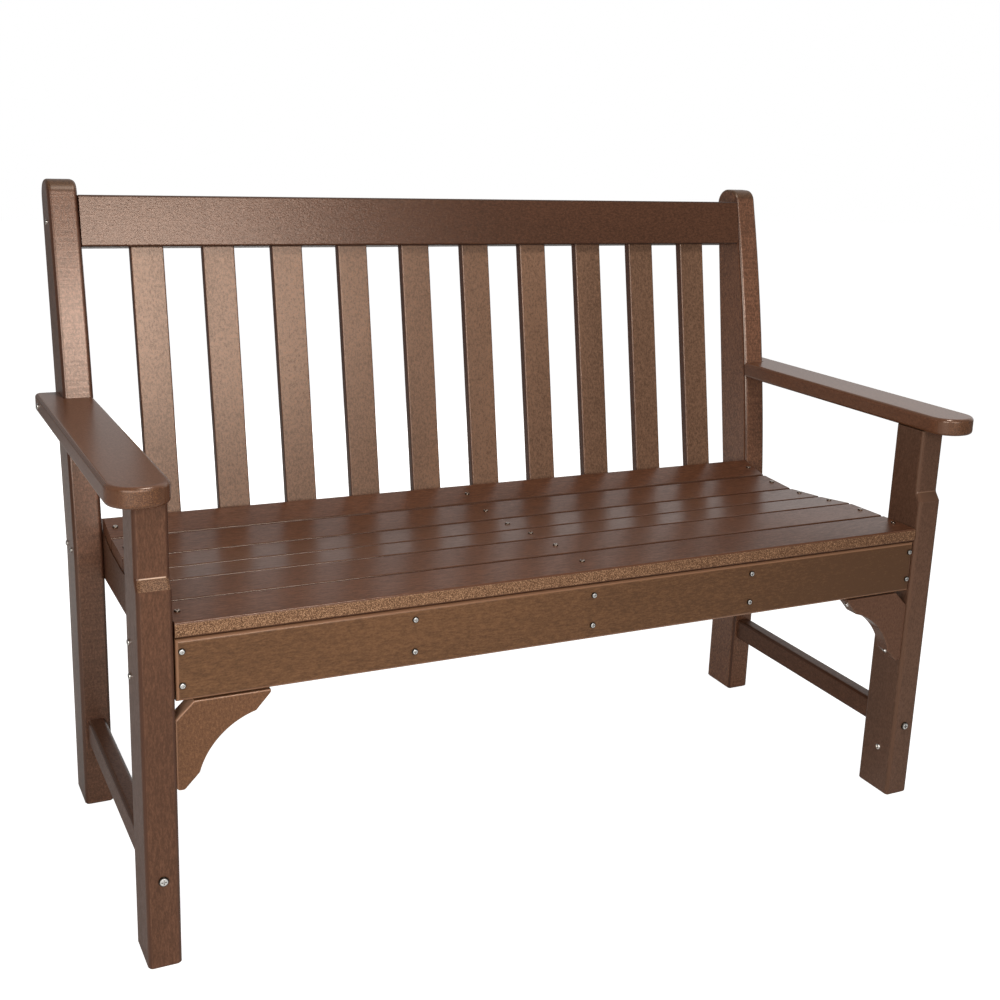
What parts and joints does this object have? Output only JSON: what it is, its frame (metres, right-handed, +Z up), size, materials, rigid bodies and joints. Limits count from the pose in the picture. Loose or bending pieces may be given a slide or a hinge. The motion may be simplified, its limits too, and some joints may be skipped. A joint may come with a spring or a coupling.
{
  "type": "garden bench",
  "caption": "Slatted garden bench in brown plastic lumber with curved rear posts, flat rounded arms, a dished slatted seat, an upright slatted back and corner brackets under the front apron.",
  "frame": {"origin": "on the floor under the middle of the bench's bounding box", "axes": "+X along the bench to the right of someone facing its front, +Y from the front to the back, +Z up"},
  "size_m": [1.2352, 0.6282, 0.889],
  "materials": {
    "post_lumber": "satin, fine lengthwise grain",
    "arm_lumber": "satin, fine lengthwise grain",
    "seat_lumber": "satin, fine lengthwise grain",
    "back_lumber": "satin, fine lengthwise grain",
    "frame_lumber": "satin, fine lengthwise grain",
    "screw_steel": "plain stainless steel"
  },
  "bodies": {
    "root": {"apron_screws": "screw_steel", "arm_left": "arm_lumber", "arm_right": "arm_lumber", "arm_screws": "screw_steel", "back_slat_01": "back_lumber", "back_slat_02": "back_lumber", "back_slat_03": "back_lumber", "back_slat_04": "back_lumber", "back_slat_05": "back_lumber", "back_slat_06": "back_lumber", "back_slat_07": "back_lumber", "back_slat_08": "back_lumber", "back_slat_09": "back_lumber", "back_slat_10": "back_lumber", "bracket_screws": "screw_steel", "corner_bracket_left": "frame_lumber", "corner_bracket_right": "frame_lumber", "front_apron": "frame_lumber", "front_post_foot_screws": "screw_steel", "front_post_left": "post_lumber", "front_post_right": "post_lumber", "lower_back_rail": "frame_lumber", "lower_back_rail_screws": "screw_steel", "rear_post_left": "post_lumber", "rear_post_right": "post_lumber", "seat_rib_centre": "frame_lumber", "seat_rib_left": "frame_lumber", "seat_rib_right": "frame_lumber", "seat_side_rail_left": "frame_lumber", "seat_side_rail_right": "frame_lumber", "seat_slat_1": "seat_lumber", "seat_slat_2": "seat_lumber", "seat_slat_3": "seat_lumber", "seat_slat_4": "seat_lumber", "seat_slat_5": "seat_lumber", "seat_slat_6": "seat_lumber", "seat_slat_screws": "screw_steel", "side_rail_screws": "screw_steel", "side_stretcher_left": "frame_lumber", "side_stretcher_right": "frame_lumber", "stretcher_bolts": "screw_steel", "top_rail": "back_lumber", "top_rail_screws": "screw_steel"}
  },
  "joints": []
}
